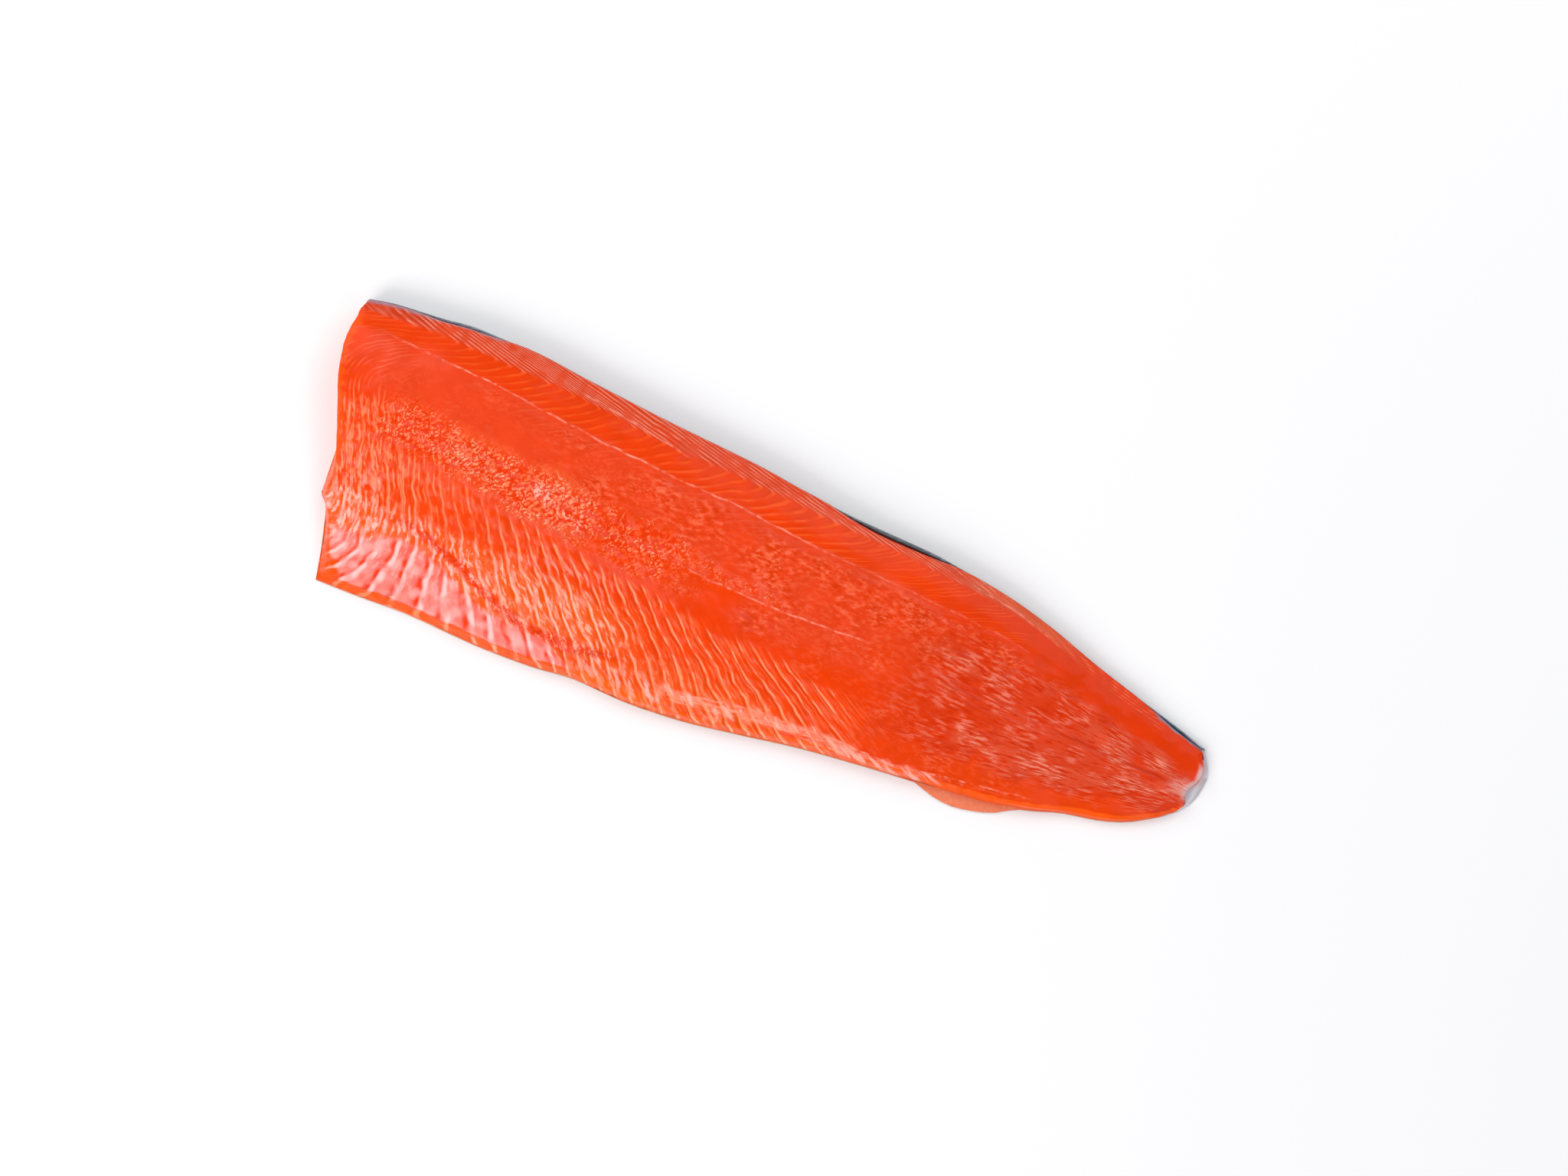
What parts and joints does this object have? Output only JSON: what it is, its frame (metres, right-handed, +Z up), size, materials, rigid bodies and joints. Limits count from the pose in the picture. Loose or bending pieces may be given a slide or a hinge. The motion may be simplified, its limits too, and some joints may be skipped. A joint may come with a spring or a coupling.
{
  "type": "raw salmon fillet",
  "caption": "Raw side of salmon lying skin down, thick at the back, thin at the belly, tapering to the tail, with its dark skin wrapped round the back.",
  "frame": {"origin": "on the floor under the middle of the fillet's box", "axes": "+X from the head end to the tail, +Y to the back edge, +Z up out of the flesh side"},
  "size_m": [0.4084, 0.125, 0.0226],
  "materials": {
    "flesh": null,
    "skin": "dark blue-grey fish skin, satin"
  },
  "bodies": {
    "root": {"flesh": "flesh", "skin": "skin"}
  },
  "joints": []
}
